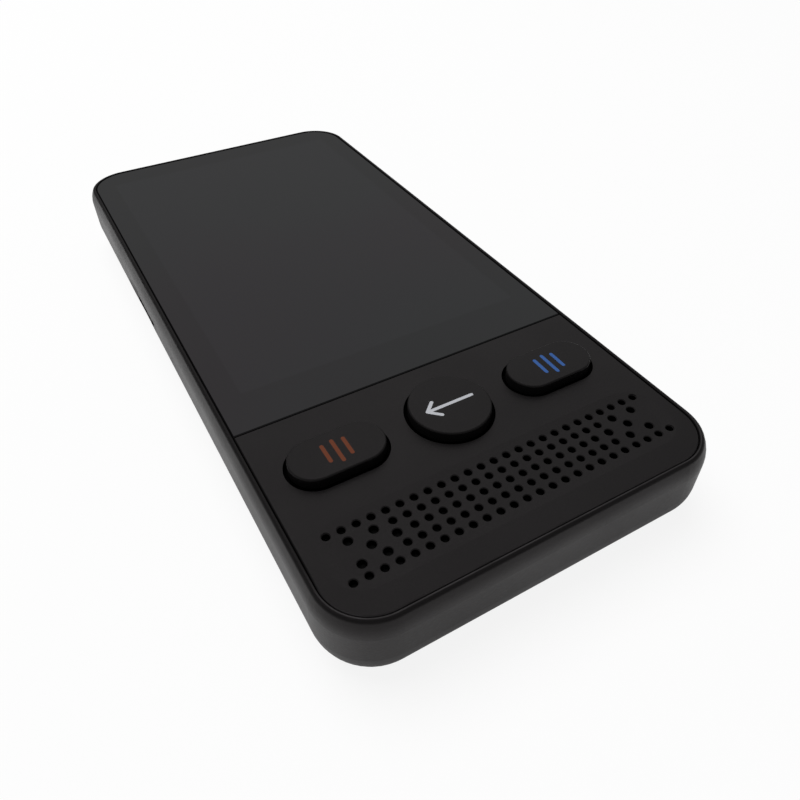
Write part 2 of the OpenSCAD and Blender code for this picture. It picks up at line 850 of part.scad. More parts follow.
// The board under the keys, with an ear that carries the front microphone
module key_board() {
    ear_half_w = mic_w / 2 + 0.6;
    ear_y0 = grille_mid_y - mic_l / 2 - 0.8;
    color(board_green) difference() {
        translate([0, 0, key_board_z]) linear_extrude(board_t) {
            translate([-key_board_half_w, key_board_y0]) {
                square([2 * key_board_half_w, key_board_y1 - key_board_y0]);
            }
            translate([-key_tongue_half_w, key_board_y1 - over]) {
                square([2 * key_tongue_half_w, key_tongue_l + over]);
            }
            translate([mic_x - ear_half_w, ear_y0]) {
                square([2 * ear_half_w, key_board_y0 - ear_y0 + over]);
            }
        }
        for (place = key_board_screws_xy) translate([place[0], place[1], key_board_z - over]) {
            cylinder(h = board_t + 2 * over, r = screw_d / 2 + 0.1);
        }
    }
}

module key_board_flex() {
    y0 = seam_y + 0.6;
    run_z = key_board_z - ribbon_t / 2;
    color(flex_amber) translate([key_connector[0], 0, 0]) ribbon([
        [y0, run_z], [ribbon_rise_y, run_z], ribbon_end - ribbon_lap, ribbon_end
    ], ribbon_t, key_connector[1] - 1);
}

// ---------- adhesives and display ----------

module glass_adhesive() {
    inset = 0.25;
    y0 = seam_y + face_gap / 2 + inset;
    color(rubber_grey) translate([0, 0, glass_seat_z]) linear_extrude(tape_t) difference() {
        intersection() {
            round_rect(2 * (frame_half_w - inset), 2 * (frame_half_l - inset), frame_r - inset);
            translate([-body_w / 2, y0]) square([body_w, body_l]);
        }
        translate([0, bay_mid_y]) round_rect(bay_w + inset, bay_l + inset, 1);
        for (place = chassis_screws_xy) translate(place) circle(screw_head_d / 2 + 0.2);
    }
}

module plate_adhesive() {
    inset = 0.25;
    y1 = seam_y - face_gap / 2 - inset;
    color(rubber_grey) translate([0, 0, plate_seat_z]) linear_extrude(tape_t) difference() {
        intersection() {
            round_rect(2 * (frame_half_w - inset), 2 * (frame_half_l - inset), frame_r - inset);
            translate([-body_w / 2, y1 - body_l]) square([body_w, body_l]);
        }
        translate([0, key_y]) {
            round_rect(2 * key_bay_half_w + inset, 2 * key_bay_half_l + inset, key_bay_r);
        }
        translate([0, grille_mid_y]) {
            round_rect(2 * grille_bay_half_w + inset, 2 * grille_bay_half_l + inset, grille_bay_r);
        }
        for (place = chassis_screws_xy) translate(place) circle(screw_head_d / 2 + 0.2);
    }
}

module display_cell() {
    color([0.08, 0.08, 0.1]) translate([0, bay_mid_y, glass_z - cell_t]) {
        linear_extrude(cell_t) round_rect(cell_w, cell_l, 0.5);
    }
}

module backlight_unit() {
    backlight_l = cell_l - flex_ledge;
    mid_y = cell_y0 + flex_ledge + backlight_l / 2;
    color([0.9, 0.9, 0.88]) translate([0, mid_y, glass_z - cell_t - slip - backlight_t]) {
        linear_extrude(backlight_t) round_rect(cell_w, backlight_l, 0.5);
    }
}

// The flex leaves the ledge of the cell, drops through the frame and runs under it to the main board
module display_flex() {
    bend_y = cell_y0 + 0.2;
    run_z = frame_z - 0.3;
    top_z = glass_z - cell_t - ribbon_t / 2;
    color(flex_amber) translate([display_connector[0], 0, 0]) ribbon([
        [cell_y0 + flex_ledge - 0.4, top_z], [bend_y, top_z], [bend_y, run_z],
        [ribbon_rise_y, run_z], ribbon_end - ribbon_lap, ribbon_end
    ], ribbon_t, display_connector[1] - 1);
}

// ---------- speaker ----------

module speaker_mesh() {
    mesh_half_w = grille_bay_half_w - mesh_margin;
    mesh_half_l = grille_bay_half_l - mesh_margin;
    color([0.2, 0.2, 0.2]) translate([0, grille_mid_y, plate_z - mesh_t]) {
        linear_extrude(mesh_t) round_rect(2 * mesh_half_w, 2 * mesh_half_l, grille_bay_r);
    }
}

// A foam ring round the speaker's part of the grille
module speaker_gasket() {
    x0 = -grille_bay_half_w + mesh_margin;
    x1 = mic_x - 2.4;
    l = 2 * (grille_bay_half_l - mesh_margin);
    r = grille_bay_r - mesh_margin;
    color(rubber_grey) translate([(x0 + x1) / 2, grille_mid_y, shelf_z]) {
        linear_extrude(plate_z - mesh_t - shelf_z) difference() {
            round_rect(x1 - x0, l, r);
            round_rect(x1 - x0 - 2 * gasket_w, l - 2 * gasket_w, r - gasket_w);
        }
    }
}

// A racetrack speaker: basket, cone with a dust cap, and the magnet under it
module speaker_driver() {
    cone_depth = 0.9;
    color([0.2, 0.2, 0.22]) translate([speaker_x, grille_mid_y, 0]) {
        difference() {
            translate([0, 0, shelf_z - speaker_t]) {
                linear_extrude(speaker_t) round_rect(2 * speaker_half_w, 2 * speaker_half_l, 1.9);
            }
            translate([0, 0, shelf_z - cone_depth]) {
                swept_slab(speaker_half_w - 0.8, speaker_half_l - 0.8, 3.2, 0, over + cone_depth) {
                    polygon([[0, 0], [2.0, 0], [2.8, cone_depth * 0.7], [3.2, cone_depth * 0.7],
                        [3.2, cone_depth + over], [0, cone_depth + over]]);
                }
            }
        }
        translate([0, 0, shelf_z - cone_depth]) {
            linear_extrude(0.4) round_rect(dust_cap_w, dust_cap_l, dust_cap_l / 2);
        }
        translate([-magnet_w / 2, -magnet_l / 2, shelf_z - speaker_t - magnet_t]) {
            cube([magnet_w, magnet_l, magnet_t]);
        }
    }
}

// The tray behind the speaker, open at the top where the frame closes it
module speaker_box() {
    box_r = 1.6;
    color(black) translate([speaker_x, grille_mid_y, box_z]) difference() {
        linear_extrude(frame_z - box_z) round_rect(2 * box_half_w, 2 * box_half_l, box_r);
        translate([0, 0, box_wall]) linear_extrude(body_t) {
            round_rect(2 * (box_half_w - box_wall), 2 * (box_half_l - box_wall), box_r - box_wall);
        }
    }
}

// ---------- battery ----------

module battery() {
    seal = 1.2;
    color(foil) translate([0, battery_y, battery_z]) {
        linear_extrude(battery_t) round_rect(battery_w, battery_l - 2 * seal, 1.2);
        translate([0, 0, battery_t / 2 - 0.2]) {
            linear_extrude(0.4) round_rect(battery_w - 3, battery_l, 0.6);
        }
    }
}

module battery_tape() {
    color([0.85, 0.85, 0.8]) translate([0, battery_y, floor_t]) {
        linear_extrude(tape_t) round_rect(battery_w * 0.7, battery_l * 0.8, 1);
    }
}

// The tab that joins the battery to the main board
module battery_lead() {
    y0 = battery_y + battery_l / 2;
    z0 = battery_z + battery_t / 2;
    color(flex_amber) translate([battery_connector[0], 0, 0]) ribbon([
        [y0, z0], [y0 + 1.4, z0], [y0 + 1.4, ribbon_end[1]], ribbon_end
    ], ribbon_t, battery_connector[1] - 1);
}

// ---------- main board ----------

module main_board() {
    color(board_green) difference() {
        translate([0, 0, board_z]) linear_extrude(board_t) {
            translate([-board_half_w, board_y0]) {
                square([2 * board_half_w, board_shoulder_y - board_y0]);
            }
            translate([-board_nose_half_w, board_y0]) {
                square([2 * board_nose_half_w, board_y1 - board_y0]);
            }
        }
        for (place = board_screws_xy) translate([place[0], place[1], board_z - over]) {
            cylinder(h = board_t + 2 * over, r = screw_d / 2 + 0.1);
        }
    }
}

// The chips, and the connectors of the ribbons
module board_chips() {
    color([0.1, 0.1, 0.1]) {
        for (chip = chips) {
            w = chip[2] * board_half_w;
            translate([chip[0] * board_half_w - w / 2, board_y0 + chip[1] - chip[3] / 2, board_top_z]) {
                cube([w, chip[3], chip[4]]);
            }
        }
        for (place = [display_connector, key_connector, battery_connector]) {
            translate([place[0] - place[1] / 2, connector_y - connector_l / 2, board_top_z]) {
                cube([place[1], connector_l, connector_h]);
            }
        }
    }
}

// A thin steel lid over the processor and its memory
module shield_can() {
    sheet_t = 0.2;
    color(foil) translate([can_x, can_y, board_top_z]) difference() {
        linear_extrude(can_h) round_rect(can_w, can_l, 0.8);
        translate([0, 0, -over]) linear_extrude(can_h - sheet_t + over) {
            round_rect(can_w - 2 * sheet_t, can_l - 2 * sheet_t, 0.6);
        }
    }
}

// The port: a drawn shell with the tongue inside
module usb_c_port() {
    mouth_y = half_l - port_setback;
    hollow_w = port_w - 2 * port_wall;
    hollow_h = port_h - 2 * port_wall;
    tongue_w = 6.7;
    tongue_h = 0.7;
    color(steel) translate([0, mouth_y, port_z]) rotate([90, 0, 0]) {
        difference() {
            pill(port_w, port_h, port_l);
            translate([0, 0, -over]) pill(hollow_w, hollow_h, port_l - 1 + over);
        }
        translate([-tongue_w / 2, -tongue_h / 2, 0.8]) cube([tongue_w, tongue_h, port_l - 1]);
    }
}

// One microphone behind the cross of the grille, and one behind the hole in the top end
module microphones() {
    color([0.75, 0.65, 0.3]) {
        translate([mic_x - mic_w / 2, grille_mid_y - mic_l / 2, frame_z]) cube([mic_w, mic_l, mic_t]);
        translate([top_mic_x - mic_w / 2, board_y1 - mic_l, board_top_z]) cube([mic_w, mic_l, mic_t]);
    }
}

module microphone_boots() {
    boot_w = 4;
    boot_h = 2.2;
    color(rubber_grey) {
        translate([mic_x, grille_mid_y, shelf_z]) difference() {
            cylinder(h = plate_z - mesh_t - shelf_z, r = 1.8);
            translate([0, 0, -over]) cylinder(h = 2 * over + 1.2, r = 0.6);
        }
        translate([top_mic_x, board_y1, board_top_z + mic_t / 2]) rotate([-90, 0, 0]) difference() {
            linear_extrude(cavity_half_l - board_y1) round_rect(boot_w, boot_h, 0.6);
            translate([0, 0, -over]) cylinder(h = 3 * over + 2, r = 0.5);
        }
    }
}

module wireless_antenna() {
    patch_l = 16;
    patch_h = 3;
    color(flex_amber) {
        translate([cavity_half_w - ribbon_t, board_y0 + 1, frame_z - 0.3 - patch_h]) {
            cube([ribbon_t, patch_l, patch_h]);
        }
    }
}

// ---------- side keys ----------

// A side key: cap, and the longer flange that keeps it in. It lies at y = 0 on the right side.
module side_key(l, flange_x) {
    translate([flange_x - side_flange_t, 0, side_key_z]) rotate([90, 0, 90]) {
        cap_h = side_key_top - flange_x + side_flange_t;
        swept_slab(l / 2, side_key_w / 2, side_key_w / 2, 0, cap_h) {
            rounded_profile(side_key_w / 2, cap_h, 0, 0.3);
        }
        pill(l + 2 * side_flange, side_key_w, side_flange_t);
    }
}

module power_key() {
    color(black) translate([0, power_y, 0]) rotate(180) side_key(power_l, power_flange_x);
}

// The plunger that the power key pushes into its switch
module power_plunger() {
    head_x = power_flange_x - side_flange_t;
    l = switch_gap + plunger_bite;
    color(steel) translate([-head_x, power_y, side_key_z]) rotate([0, 90, 0]) {
        cylinder(h = l, r = plunger_r);
    }
}

// The switch behind the power key, on its bracket
module power_switch() {
    switch_l = 4.2;
    switch_h = 2.6;
    depth = plunger_bite + power_travel + 0.2;
    color(steel) translate([-switch_face_x, power_y, side_key_z]) {
        difference() {
            translate([0, -switch_l / 2, -switch_h / 2]) cube([switch_t, switch_l, switch_h]);
            translate([-over, 0, 0]) rotate([0, 90, 0]) cylinder(h = over + depth, r = plunger_r + slip);
        }
        translate([switch_t, -power_bracket_l / 2, -bracket_h / 2]) {
            cube([bracket_t, power_bracket_l, bracket_h]);
        }
    }
}

module volume_rocker() {
    nub_l = 0.5;
    color(black) translate([0, volume_y, 0]) difference() {
        union() {
            side_key(volume_l, rocker_flange_x);
            translate([rocker_pin_x, 0, side_key_z]) {
                cylinder(h = side_key_w, r = rocker_lug_r, center = true);
            }
            for (side = [-1, 1]) {
                translate([rocker_flange_x - side_flange_t - nub_l, side * rocker_nub_y, side_key_z]) {
                    rotate([0, 90, 0]) cylinder(h = nub_l + 0.1, r = 0.7);
                }
            }
        }
        translate([rocker_pin_x, 0, side_key_z]) {
            cylinder(h = side_key_w + over, r = rocker_pin_r + slip, center = true);
        }
    }
}

module rocker_pin() {
    color(steel) translate([rocker_pin_x, volume_y, side_key_z]) {
        cylinder(h = side_key_w + 2 * (ear_gap + ear_t), r = rocker_pin_r, center = true);
    }
}

module volume_switches() {
    switch_l = 3.6;
    switch_h = 2.4;
    back_x = rocker_bracket_x + bracket_t;
    face_x = rocker_flange_x - side_flange_t - 0.5 - rocker_gap;
    color(steel) translate([0, volume_y, side_key_z]) {
        for (side = [-1, 1]) {
            translate([back_x, side * rocker_nub_y - switch_l / 2, -switch_h / 2]) {
                cube([face_x - back_x, switch_l, switch_h]);
            }
        }
        translate([rocker_bracket_x, -volume_bracket_l / 2, -bracket_h / 2]) {
            cube([bracket_t, volume_bracket_l, bracket_h]);
        }
    }
}

// ---------- screws ----------

module chassis_screws() {
    color(steel) for (place = chassis_screws_xy) {
        translate([place[0], place[1], frame_seat_z(place)]) screw(screw_l);
    }
}

module board_screws() {
    color(steel) {
        for (place = board_screws_xy) {
            translate([place[0], place[1], board_top_z]) screw(board_top_z - floor_t - 0.8);
        }
        for (place = key_board_screws_xy) {
            translate([place[0], place[1], key_board_z]) rotate([180, 0, 0]) screw(board_t + 1.2);
        }
    }
}

rear_housing();
mid_frame();
keypad_plate();
cover_glass();
left_key();
back_key();
right_key();
left_key_pad();
back_key_pad();
right_key_pad();
left_dome();
back_dome();
right_dome();
key_board();
key_board_flex();
glass_adhesive();
plate_adhesive();
display_cell();
backlight_unit();
display_flex();
speaker_mesh();
speaker_gasket();
speaker_driver();
speaker_box();
battery();
battery_tape();
battery_lead();
main_board();
board_chips();
shield_can();
usb_c_port();
microphones();
microphone_boots();
wireless_antenna();
power_key();
power_plunger();
power_switch();
volume_rocker();
rocker_pin();
volume_switches();
chassis_screws();
board_screws();
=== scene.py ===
"""A pocket translator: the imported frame, dressed with procedural materials and printed marks.

All lengths are metres. +X runs across the face, +Y towards the screen end, +Z out of the face.
"""
import math

import bpy
import bmesh
from mathutils import Matrix, Vector

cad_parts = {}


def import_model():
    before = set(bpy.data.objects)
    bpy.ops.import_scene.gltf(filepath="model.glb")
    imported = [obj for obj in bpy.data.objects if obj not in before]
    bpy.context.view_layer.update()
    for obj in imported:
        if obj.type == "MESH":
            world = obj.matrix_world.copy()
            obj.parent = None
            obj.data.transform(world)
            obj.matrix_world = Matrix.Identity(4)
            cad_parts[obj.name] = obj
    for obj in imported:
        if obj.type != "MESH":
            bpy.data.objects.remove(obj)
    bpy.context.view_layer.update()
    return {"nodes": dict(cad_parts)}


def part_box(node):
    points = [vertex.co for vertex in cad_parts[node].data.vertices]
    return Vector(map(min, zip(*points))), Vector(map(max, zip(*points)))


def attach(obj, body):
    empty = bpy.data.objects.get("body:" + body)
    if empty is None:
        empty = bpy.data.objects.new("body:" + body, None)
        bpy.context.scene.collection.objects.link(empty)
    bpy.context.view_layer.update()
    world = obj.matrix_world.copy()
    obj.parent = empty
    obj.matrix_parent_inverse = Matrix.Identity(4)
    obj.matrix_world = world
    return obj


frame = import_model()
nodes = frame["nodes"]
scene = bpy.context.scene

MM = 0.001


def footprint(name):
    """Middle and half size of a piece, in X and Y."""
    lo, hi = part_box(name)
    return ((lo.x + hi.x) / 2, (lo.y + hi.y) / 2), ((hi.x - lo.x) / 2, (hi.y - lo.y) / 2)


def top_of(name):
    """Height of a piece's top."""
    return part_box(name)[1].z


# Height of the face that the keys stand out of
FACE_Z = top_of("keypad_plate")
# Corner radius of the glass and the keypad plate
CORNER_R = 6.36 * MM

WHITE = (1.0, 1.0, 1.0)
# A faint warm tint of the gloss on the black plastics
WARM = (1.0, 0.93, 0.945)
# Colour of the painted highlight lines along edges
PAINTED_HIGHLIGHT = (0.034, 0.032, 0.033)


# ---------- node trees ----------

class Tree:
    """The node tree of a material or world, with the calls that every one here is made of."""

    def __init__(self, owner):
        owner.use_nodes = True
        self.tree = owner.node_tree
        self.tree.nodes.clear()

    def add(self, kind):
        return self.tree.nodes.new(kind)

    def join(self, source, target):
        self.tree.links.new(source, target)

    def set(self, node, values):
        for name, value in values.items():
            node.inputs[name].default_value = value

    def feed(self, value, target):
        """Joins a socket, or writes a number or colour, to an input."""
        if isinstance(value, bpy.types.NodeSocket):
            self.join(value, target)
        elif isinstance(value, (tuple, list)):
            target.default_value = (*value, 1.0)
        else:
            target.default_value = value

    def math(self, operation, a, b=0.0, c=0.0):
        node = self.add("ShaderNodeMath")
        node.operation = operation
        for value, socket in zip((a, b, c), node.inputs):
            self.feed(value, socket)
        return node.outputs[0]

    def span(self, value, low, high, to_low, to_high, smooth=False):
        """Maps value from low..high to to_low..to_high, and holds it at the ends."""
        node = self.add("ShaderNodeMapRange")
        if smooth:
            node.interpolation_type = "SMOOTHSTEP"
        self.join(value, node.inputs["Value"])
        self.set(node, {"From Min": low, "From Max": high, "To Min": to_low, "To Max": to_high})
        return node.outputs["Result"]

    def split(self, vector):
        """The X, Y and Z parts of a vector."""
        node = self.add("ShaderNodeSeparateXYZ")
        self.join(vector, node.inputs[0])
        return [node.outputs[name] for name in "XYZ"]

    def mix_shaders(self, factor, first, second):
        node = self.add("ShaderNodeMixShader")
        for source, socket in zip((factor, first, second), node.inputs):
            self.join(source, socket)
        return node.outputs[0]


def shade(colour, factor):
    """The colour made darker or lighter, up to white."""
    return [min(1.0, part * factor) for part in colour]


# ---------- materials ----------

class Look(Tree):
    """A Principled material and the few patterns that all the looks here are made of."""

    def __init__(self, name, metallic=0.0, specular=0.5, tint=WHITE):
        self.material = bpy.data.materials.new(name)
        super().__init__(self.material)
        self.shader = self.add("ShaderNodeBsdfPrincipled")
        output = self.add("ShaderNodeOutputMaterial")
        self.join(self.shader.outputs["BSDF"], output.inputs["Surface"])
        self.set(self.shader, {"Metallic": metallic, "IOR": 1.5})
        self.specular(specular)
        self.tint(tint)
        self.place = self.add("ShaderNodeTexCoord").outputs["Object"]

    def colour(self, value):
        self.feed(value, self.shader.inputs["Base Color"])

    def specular(self, value):
        self.feed(value, self.shader.inputs["Specular IOR Level"])

    def tint(self, value):
        self.feed(value, self.shader.inputs["Specular Tint"])

    def normal(self, value):
        self.join(value, self.shader.inputs["Normal"])

    def roughness(self, noise, first, last, low=0.3, high=0.7):
        """Roughness from first to last as a noise runs from low to high, where it mostly lies."""
        self.join(self.span(noise, low, high, first, last), self.shader.inputs["Roughness"])

    def stretched(self, x=1.0, y=1.0, z=1.0):
        """Object coordinates scaled by axis, for brushed or woven patterns."""
        node = self.add("ShaderNodeMapping")
        self.join(self.place, node.inputs["Vector"])
        node.inputs["Scale"].default_value = (x, y, z)
        return node.outputs["Vector"]

    def noise(self, size, detail=2.0, roughness=0.5, vector=None):
        """Noise from 0 to 1 whose blotches are about size across."""
        node = self.add("ShaderNodeTexNoise")
        self.join(vector or self.place, node.inputs["Vector"])
        self.set(node, {"Scale": 1.0 / size, "Detail": detail, "Roughness": roughness})
        return node.outputs["Fac"]

    def cells(self, size, feature="F1", vector=None, randomness=1.0):
        """Distance inside cells that are about size across."""
        node = self.add("ShaderNodeTexVoronoi")
        node.feature = feature
        self.join(vector or self.place, node.inputs["Vector"])
        self.set(node, {"Scale": 1.0 / size, "Randomness": randomness})
        return node.outputs["Distance"]

    def wave(self, direction, scale, distortion=0.0):
        """Parallel bands across an axis."""
        node = self.add("ShaderNodeTexWave")
        node.bands_direction = direction
        self.join(self.place, node.inputs["Vector"])
        self.set(node, {"Scale": scale, "Distortion": distortion, "Detail": 1.0})
        return node.outputs["Fac"]

    def blend(self, factor, first, second):
        """A colour between two colours."""
        node = self.add("ShaderNodeMix")
        node.data_type = "RGBA"
        # a Mix node has other inputs in between for the other kinds of data
        for value, number in ((factor, 0), (first, 6), (second, 7)):
            self.feed(value, node.inputs[number])
        return node.outputs[2]

    def shades(self, factor, colour, darker, lighter):
        """The colour from a darker to a lighter shade of itself."""
        return self.blend(factor, shade(colour, darker), shade(colour, lighter))

    def weigh(self, first, second, share):
        """A sum with the given share of the first value and the rest of the second."""
        rest = self.math("MULTIPLY", second, 1.0 - share)
        return self.math("ADD", self.math("MULTIPLY", first, share), rest)

    def bump(self, height, depth, before=None):
        """A bump from height (0 to 1), depth metres deep, on top of the bump before."""
        node = self.add("ShaderNodeBump")
        self.join(height, node.inputs["Height"])
        self.set(node, {"Distance": depth, "Strength": 1.0})
        if before is not None:
            self.join(before, node.inputs["Normal"])
        return node.outputs["Normal"]

    def outline_distance(self, middle, half, radius):
        """Distance outside a rounded rectangle in X and Y, negative inside."""
        beyond = []
        for part, centre, size in zip(self.split(self.place), middle, half):
            away = self.math("ABSOLUTE", self.math("SUBTRACT", part, centre))
            beyond.append(self.math("SUBTRACT", away, size - radius))
        corner = [self.math("POWER", self.math("MAXIMUM", part, 0.0), 2.0) for part in beyond]
        outside = self.math("SQRT", self.math("ADD", *corner))
        inside = self.math("MINIMUM", self.math("MAXIMUM", *beyond), 0.0)
        return self.math("SUBTRACT", self.math("ADD", outside, inside), radius)

    def line(self, distance, middle, width):
        """1 on a line at distance middle, falling to 0 at half its width to each side."""
        away = self.math("ABSOLUTE", self.math("SUBTRACT", distance, middle))
        return self.span(away, 0.0, width / 2, 1.0, 0.0, smooth=True)


class Edge:
    """A painted highlight line along a rounded rectangle, at a distance outside it (negative inside).
    """

    def __init__(self, middle, half, radius, distance, width, strength=1.0, only_near=False):
        self.middle, self.half, self.radius = middle, half, radius
        self.distance, self.width = distance, width
        self.strength, self.only_near = strength, only_near

    def painted_highlight(self, look):
        """How strong the painted highlight is at each point, from 0 to 1."""
        away = look.outline_distance(self.middle, self.half, self.radius)
        patches = look.noise(4 * MM, detail=2.0)
        patchy = look.span(patches, 0.3, 0.6, 0.6 * self.strength, self.strength)
        painted_highlight = look.math("MULTIPLY", look.line(away, self.distance, self.width), patchy)
        if self.only_near:
            # the painted highlight runs only along the end where the keys are
            end = self.middle[1] - self.half[1]
            along = look.split(look.place)[1]
            near = look.span(along, end + 11 * MM, end + 2 * MM, 0.0, 1.0, smooth=True)
            painted_highlight = look.math("MULTIPLY", painted_highlight, near)
        return painted_highlight


def plate_edge(distance, width):
    """A painted highlight line along the keypad plate's edge, at the key end."""
    middle, half = footprint("keypad_plate")
    # the end at the seam is square, so the outline runs on past it
    past = 5 * MM
    middle, half = (middle[0], middle[1] + past), (half[0], half[1] + past)
    return Edge(middle, half, CORNER_R, distance, width, only_near=True)


def key_edge(name, strength):
    """A painted highlight line just inside the top edge of a key."""
    middle, half = footprint(name)
    return Edge(middle, half, half[1], -0.28 * MM, 0.7 * MM, strength)


def moulded(name, colour, rough, grain, depth, specular=0.5, drift=0.12, tint=WHITE,
            edge=None, face_z=None):
    """Moulded plastic: a fine spark-eroded grain, with slow drifts of colour and gloss.

    edge is an Edge along which a highlight is painted lighter. Below face_z, inside the gaps and
    holes,
    shade is painted: the plastic is darker and has no gloss.
    """
    look = Look(name, specular=specular, tint=tint)
    slow = look.noise(11 * MM, detail=3.0)
    tone = look.shades(slow, colour, 1.0 - drift, 1.0 + drift)
    if edge:
        # painted highlight: a lighter line along the edge, put into the colour
        tone = look.blend(edge.painted_highlight(look), tone, PAINTED_HIGHLIGHT)
    if face_z is not None:
        # painted shade: below the face the colour is darker and the gloss is taken away
        height = look.split(look.place)[2]
        above_painted_shade = look.span(height, face_z - 0.2 * MM, face_z - 0.06 * MM, 0.0, 1.0, smooth=True)
        tone = look.blend(above_painted_shade, shade(colour, 0.25), tone)
        look.specular(look.math("MULTIPLY", above_painted_shade, specular))
    look.colour(tone)
    fine = look.noise(grain, detail=3.0, roughness=0.6)
    look.roughness(look.weigh(slow, fine, 0.5), rough - 0.06, rough + 0.06)
    pits = look.cells(grain * 1.7)
    look.normal(look.bump(pits, depth * 0.6, look.bump(fine, depth)))
    return look


def housing_plastic():
    """The housing's soft black finish, with a highlight painted on the rim where it meets the plate.
    """
    return moulded("soft_black_plastic", (0.0054, 0.0050, 0.0051), 0.42, 0.26 * MM, 0.010 * MM,
                   specular=0.32, tint=WARM, edge=plate_edge(0.3 * MM, 0.26 * MM))


def plate_plastic():
    """The keypad plate's satin finish, with a highlight painted along its own edge and shade painted
    inside the grille's holes.
    """
    return moulded("satin_black_plastic", (0.0054, 0.0050, 0.0052), 0.46, 0.22 * MM, 0.006 * MM,
                   specular=0.51, tint=WARM, edge=plate_edge(-0.08 * MM, 0.2 * MM),
                   face_z=FACE_Z - 0.12 * MM)


def key_plastic(name, edge=None, face_z=None):
    """The fine black finish that all the keys share."""
    return moulded(name, (0.0054, 0.0051, 0.0052), 0.42, 0.2 * MM, 0.005 * MM,
                   specular=0.39, tint=WARM, edge=edge, face_z=face_z)


def face_key_plastic(node, strength):
    """Plastic of a key in the face: a highlight is painted along its edge, and shade is painted on
    its sides below the face.
    """
    return key_plastic(node + "_plastic", key_edge(node, strength), FACE_Z)


def screen_glass():
    """Cover glass: black print behind clear gloss, with the lit area of the display just visible."""
    look = Look("cover_glass_print")
    # the coating tints the gloss in large, faint patches
    patch = look.span(look.noise(45 * MM, detail=1.0), 0.35, 0.65, 0.0, 1.0, smooth=True)
    look.tint(look.blend(patch, (1.0, 0.9, 0.97), (0.94, 0.97, 0.99)))
    # the cell has a dark border, and its edge shows softly through the print
    border_w, soft = 0.7 * MM, 0.15 * MM
    middle, half = footprint("display_cell")
    outside = look.outline_distance(middle, [size - border_w for size in half], 0.0)
    active = look.span(outside, soft, -soft, 0.0, 1.0, smooth=True)
    haze = look.noise(30 * MM, detail=2.0)
    border = look.blend(haze, (0.0042, 0.0042, 0.0045), (0.0054, 0.0052, 0.0056))
    cell = look.blend(haze, (0.0066, 0.0068, 0.0078), (0.0082, 0.0080, 0.0086))
    look.colour(look.blend(active, border, cell))
    # smears of handling, and the slight ripple of pressed glass
    smear = look.noise(9 * MM, detail=4.0, vector=look.stretched(1.0, 0.45, 1.0))
    look.roughness(smear, 0.05, 0.13, low=0.35, high=0.75)
    look.normal(look.bump(look.noise(20 * MM, detail=1.0), 0.012 * MM))
    return look


def rubber(name, colour, rough, grain):
    """Rubber or foam with a fine, dull grain."""
    look = Look(name, specular=0.3)
    fine = look.noise(grain, detail=4.0)
    look.colour(look.shades(fine, colour, 0.8, 1.2))
    look.roughness(fine, rough - 0.08, rough + 0.08)
    look.normal(look.bump(fine, 0.02 * MM))
    return look


def brushed(name, colour, rough, along=(1.0, 1.0, 1.0), depth=0.004 * MM):
    """Metal with fine lines; along scales the noise by axis."""
    look = Look(name, metallic=1.0)
    lines = look.noise(0.15 * MM, detail=3.0, vector=look.stretched(*along))
    haze = look.noise(4 * MM, detail=2.0)
    look.colour(look.shades(lines, colour, 0.86, 1.06))
    look.roughness(look.weigh(lines, haze, 0.6), rough - 0.07, rough + 0.09)
    look.normal(look.bump(lines, depth))
    return look


def foil():
    """The battery's pouch: creased foil with a dull grain."""
    look = Look("foil_pouch", metallic=1.0)
    creases = look.noise(6 * MM, detail=5.0, roughness=0.55)
    dull = look.noise(0.6 * MM, detail=2.0)
    look.colour(look.blend(creases, (0.50, 0.51, 0.52), (0.62, 0.63, 0.64)))
    look.roughness(dull, 0.3, 0.46)
    look.normal(look.bump(creases, 0.2 * MM, look.bump(dull, 0.004 * MM)))
    return look


def display_glass():
    """The display's own glass, with its faint rows."""
    look = Look("display_glass")
    rows = look.noise(0.1 * MM, detail=1.0, vector=look.stretched(1.0, 0.05, 1.0))
    look.colour(look.shades(rows, (0.012, 0.012, 0.016), 0.85, 1.15))
    look.roughness(rows, 0.12, 0.20)
    look.normal(look.bump(rows, 0.002 * MM))
    return look


def laminate():
    """Circuit board: green solder mask over faint copper tracks, with glass cloth below."""
    look = Look("board_laminate")
    flat = look.stretched(1.0, 1.0, 0.02)
    tracks = look.cells(2.2 * MM, feature="DISTANCE_TO_EDGE", vector=flat, randomness=0.85)
    track = look.span(tracks, 0.02, 0.07, 1.0, 0.0, smooth=True)
    weave = look.noise(0.4 * MM, detail=2.0)
    mask = look.blend(weave, (0.006, 0.050, 0.024), (0.010, 0.075, 0.036))
    look.colour(look.blend(track, mask, (0.016, 0.115, 0.050)))
    look.roughness(weave, 0.28, 0.42)
    look.normal(look.bump(track, 0.03 * MM, look.bump(weave, 0.006 * MM)))
    return look


def film():
    """Amber polyimide film with fine parallel conductors."""
    look = Look("flex_film")
    wave = look.wave("X", 1600.0)
    haze = look.noise(3 * MM, detail=2.0)
    base = look.blend(haze, (0.42, 0.16, 0.024), (0.50, 0.21, 0.036))
    look.colour(look.blend(look.span(wave, 0.45, 0.6, 0.0, 1.0), base, (0.62, 0.30, 0.07)))
    look.roughness(haze, 0.22, 0.36)
    look.normal(look.bump(wave, 0.012 * MM))
    return look


def mesh_fabric():
    """A fine woven mesh: two crossed waves."""
    look = Look("mesh_fabric", specular=0.25)
    warp, weft = (look.wave(direction, 1900.0, distortion=0.4) for direction in "XY")
    thread = look.math("MAXIMUM", warp, weft)
    look.colour(look.shades(thread, (0.006, 0.006, 0.006), 0.35, 1.0))
    look.roughness(thread, 0.95, 0.7, low=0.2, high=1.0)
    look.normal(look.bump(thread, 0.04 * MM))
    return look


def printed(name, colour, open_texture=0.12):
    """Ink printed on a key: even, with a slightly open texture."""
    look = Look(name, specular=0.35)
    speckle = look.noise(0.16 * MM, detail=2.0)
    look.colour(look.shades(speckle, colour, 1.0 - open_texture, 1.0 + open_texture))
    look.roughness(speckle, 0.42, 0.58)
    look.normal(look.bump(speckle, 0.004 * MM))
    return look


